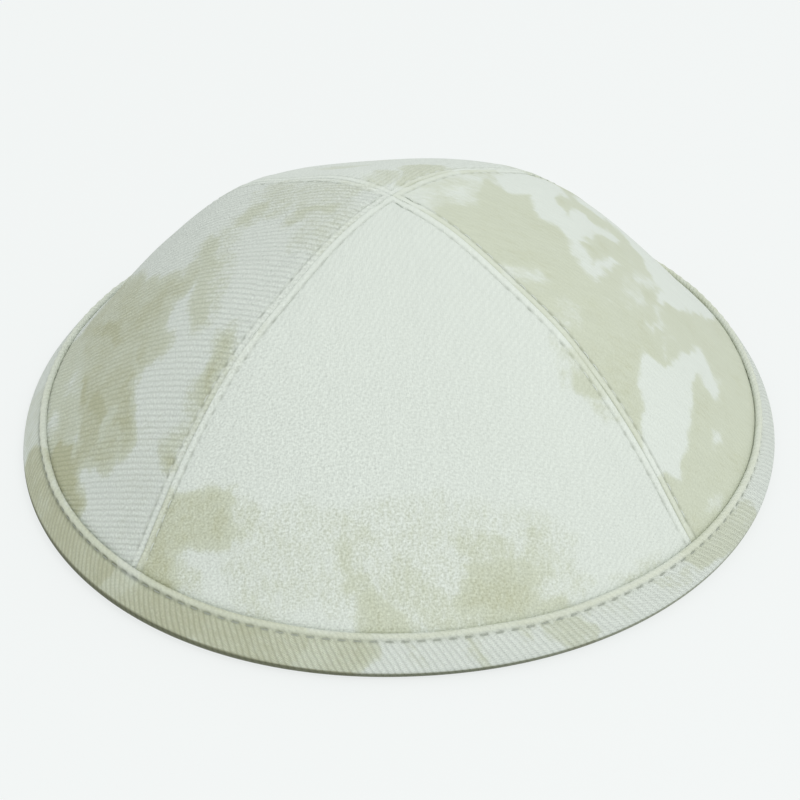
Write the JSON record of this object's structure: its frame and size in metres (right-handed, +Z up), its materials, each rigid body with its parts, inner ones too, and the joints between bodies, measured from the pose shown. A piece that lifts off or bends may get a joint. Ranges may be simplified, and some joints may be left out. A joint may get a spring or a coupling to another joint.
{
  "type": "four-panel cloth skullcap",
  "caption": "Low round skullcap of sewn twill quarter panels with a folded binding round its open rim.",
  "frame": {"origin": "centre of the rim, on the surface that the rim rests on", "axes": "+Z up through the crown, -Y towards the front panel, +X towards the right-hand panel"},
  "size_m": [0.171, 0.171, 0.0589],
  "materials": {
    "twill_front": "tie-dyed cotton twill, mostly off-white",
    "twill_right": "tie-dyed cotton twill, mostly pale sage",
    "twill_back": "tie-dyed cotton twill, off-white and pale sage",
    "twill_left": "tie-dyed cotton twill, sage and off-white",
    "binding_twill": "tie-dyed cotton twill tape cut on the bias",
    "sewing_thread": "matte off-white sewing thread"
  },
  "bodies": {
    "root": {"panel_front": "twill_front", "panel_right": "twill_right", "panel_back": "twill_back", "panel_left": "twill_left", "rim_binding": "binding_twill"}
  },
  "joints": []
}
